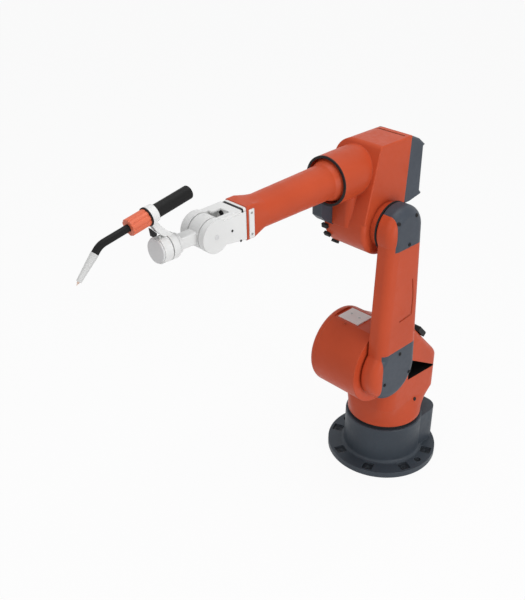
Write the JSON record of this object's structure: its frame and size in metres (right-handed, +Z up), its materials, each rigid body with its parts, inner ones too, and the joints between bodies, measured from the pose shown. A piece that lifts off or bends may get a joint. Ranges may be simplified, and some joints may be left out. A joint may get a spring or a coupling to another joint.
{
  "type": "industrial welding robot arm",
  "caption": "Orange jointed industrial arm on a round bolted base, with an upper arm beside the shoulder, a tubular forearm, a pale forked wrist and an arc welding torch.",
  "frame": {"origin": "centre of the underside of the base flange", "axes": "+Z up, +X in the arm's forward direction, +Y towards the side where the upper arm sits"},
  "size_m": [1.7229, 0.4798, 1.566],
  "materials": {
    "orange_paint": "satin",
    "dark_grey_paint": "satin",
    "black_plastic": "matte",
    "pale_metal": "satin",
    "bare_plate": "brushed",
    "nozzle_metal": "polished",
    "copper": "bare"
  },
  "bodies": {
    "base": {"base_casting": "dark_grey_paint", "base_socket_plate": "dark_grey_paint", "motor_socket": "black_plastic", "signal_socket": "black_plastic", "base_seal_ring": "black_plastic"},
    "carousel": {"carousel_casting": "orange_paint", "shoulder_drum_cap": "orange_paint", "crown_plate": "bare_plate", "cable_block": "black_plastic", "shoulder_hub": "orange_paint"},
    "upper_arm": {"upper_arm_casting": "orange_paint", "shoulder_cover": "dark_grey_paint", "elbow_cover": "dark_grey_paint"},
    "elbow": {"elbow_housing": "orange_paint", "sleeve_ring": "black_plastic", "elbow_motor_cover": "dark_grey_paint", "elbow_hub": "orange_paint", "elbow_drum_cap": "orange_paint", "sleeve_under_cover": "dark_grey_paint", "upper_cable_clamp": "black_plastic", "middle_cable_clamp": "black_plastic", "lower_cable_clamp": "black_plastic"},
    "forearm": {"forearm_tube": "orange_paint", "near_side_strip": "pale_metal", "far_side_strip": "pale_metal", "wrist_adapter_plate": "pale_metal", "wrist_spacer": "black_plastic", "wrist_fork": "pale_metal", "near_cheek_cover": "pale_metal", "far_cheek_cover": "pale_metal"},
    "wrist": {"wrist_drum": "pale_metal", "wrist_neck": "pale_metal"},
    "tool": {"tool_flange": "pale_metal", "insulating_ring": "black_plastic", "torch_holder": "pale_metal", "tool_mount_body": "pale_metal", "tool_mount_disc": "bare_plate", "torch_rear_tube": "black_plastic", "torch_rim": "black_plastic", "torch_body": "orange_paint", "torch_neck": "black_plastic", "gas_nozzle": "nozzle_metal", "contact_tip": "copper"}
  },
  "joints": [
    {"name": "base_turn", "type": "hinge", "parent": "base", "child": "carousel", "pos_m": [0, 0, 0.211], "axis": [0, 0, 1], "range_deg": [-170, 170]},
    {"name": "shoulder_swing", "type": "hinge", "parent": "carousel", "child": "upper_arm", "pos_m": [0.233, 0.14, 0.609], "axis": [0, 1, 0], "range_deg": [-60, 85]},
    {"name": "elbow_swing", "type": "hinge", "parent": "upper_arm", "child": "elbow", "pos_m": [0.233, 0.14, 1.209], "axis": [0, -1, 0], "range_deg": [-75, 150]},
    {"name": "forearm_roll", "type": "hinge", "parent": "elbow", "child": "forearm", "pos_m": [0.233, 0, 1.4117], "axis": [0.9997, 0, -0.0262], "range_deg": [-180, 180]},
    {"name": "wrist_bend", "type": "hinge", "parent": "forearm", "child": "wrist", "pos_m": [1.00584, 0, 1.39546], "axis": [0, -1, 0], "range_deg": [-115, 85]},
    {"name": "tool_roll", "type": "hinge", "parent": "wrist", "child": "tool", "pos_m": [1.00584, 0, 1.39546], "axis": [1, 0, 0], "range_deg": [-350, 350]}
  ]
}
